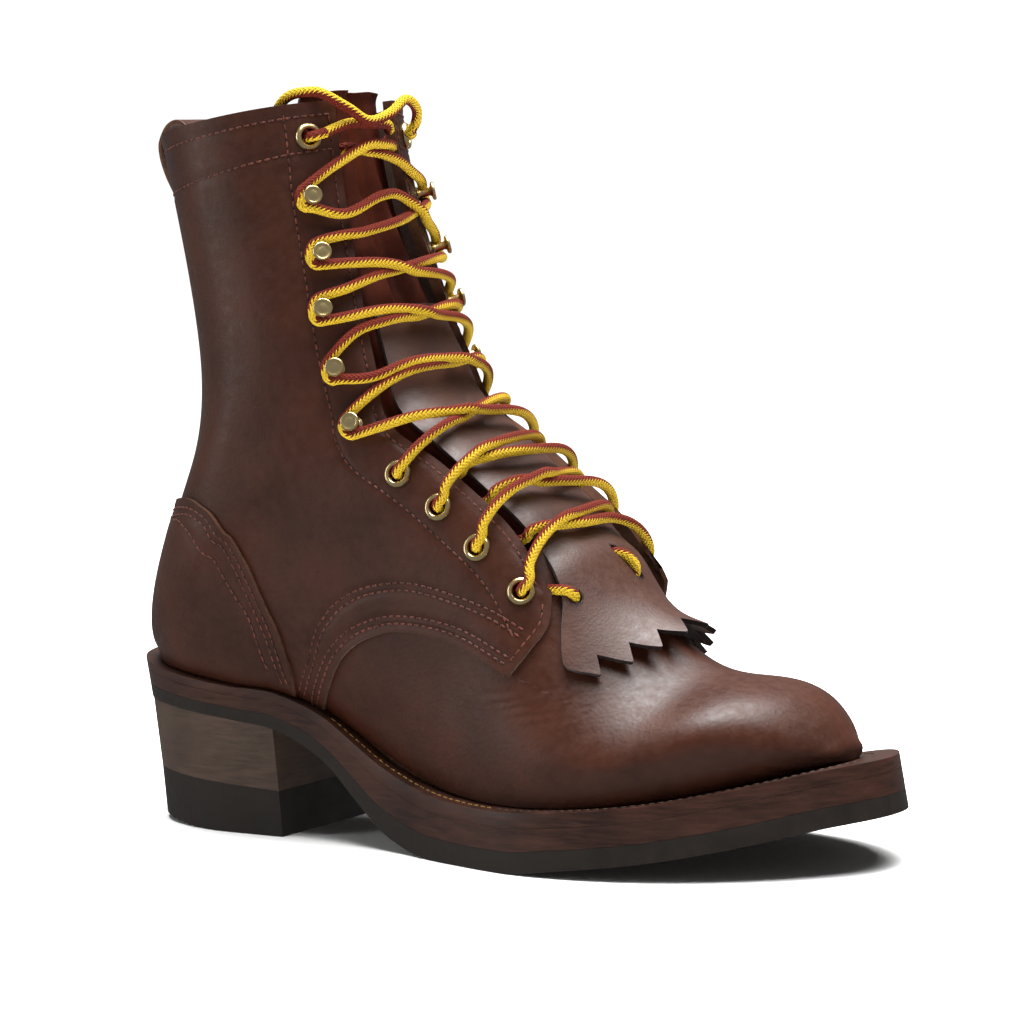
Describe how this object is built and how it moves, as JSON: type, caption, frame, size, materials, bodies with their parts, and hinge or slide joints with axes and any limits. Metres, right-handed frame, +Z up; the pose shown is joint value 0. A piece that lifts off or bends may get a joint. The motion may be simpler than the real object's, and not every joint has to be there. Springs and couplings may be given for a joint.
{
  "type": "packer boot",
  "caption": "Lace-up leather work boot with a fringed kiltie, brass eyelets and hooks, a stitched welt, leather midsole, rubber outsole and stacked heel.",
  "frame": {"origin": "middle of the boot's box on the floor, the free lace ends left out", "axes": "+X to the toe, +Y to the boot's left, which is its inner side, +Z up"},
  "size_m": [0.3098, 0.1088, 0.2675],
  "materials": {
    "brown_leather": "smooth, semi-gloss",
    "tongue_leather": "smooth, satin",
    "sole_leather": "waxed cut edge",
    "insole_leather": "matt",
    "black_rubber": "matt",
    "brass": "polished",
    "braided_lace": "round braid, yellow and red-brown"
  },
  "bodies": {
    "root": {"outsole": "black_rubber", "heel_lift": "black_rubber", "midsole": "sole_leather", "welt": "sole_leather", "heel_stack": "sole_leather", "insole": "insole_leather", "upper": "brown_leather", "counter_cover": "brown_leather", "backstay": "brown_leather", "pull_loop": "brown_leather", "tongue": "tongue_leather", "kiltie": "brown_leather", "eyelet_right_1": "brass", "eyelet_right_2": "brass", "eyelet_right_3": "brass", "eyelet_right_4": "brass", "eyelet_right_5": "brass", "eyelet_left_1": "brass", "eyelet_left_2": "brass", "eyelet_left_3": "brass", "eyelet_left_4": "brass", "eyelet_left_5": "brass", "hook_right_1": "brass", "hook_right_2": "brass", "hook_right_3": "brass", "hook_right_4": "brass", "hook_right_5": "brass", "hook_left_1": "brass", "hook_left_2": "brass", "hook_left_3": "brass", "hook_left_4": "brass", "hook_left_5": "brass", "lace_crossing_1": "braided_lace", "lace_crossing_2": "braided_lace", "lace_crossing_3": "braided_lace", "lace_crossing_4": "braided_lace", "lace_crossing_5": "braided_lace", "lace_crossing_6": "braided_lace", "lace_crossing_7": "braided_lace", "lace_crossing_8": "braided_lace", "lace_crossing_9": "braided_lace", "lace_end_outer": "braided_lace", "lace_end_inner": "braided_lace"}
  },
  "joints": []
}
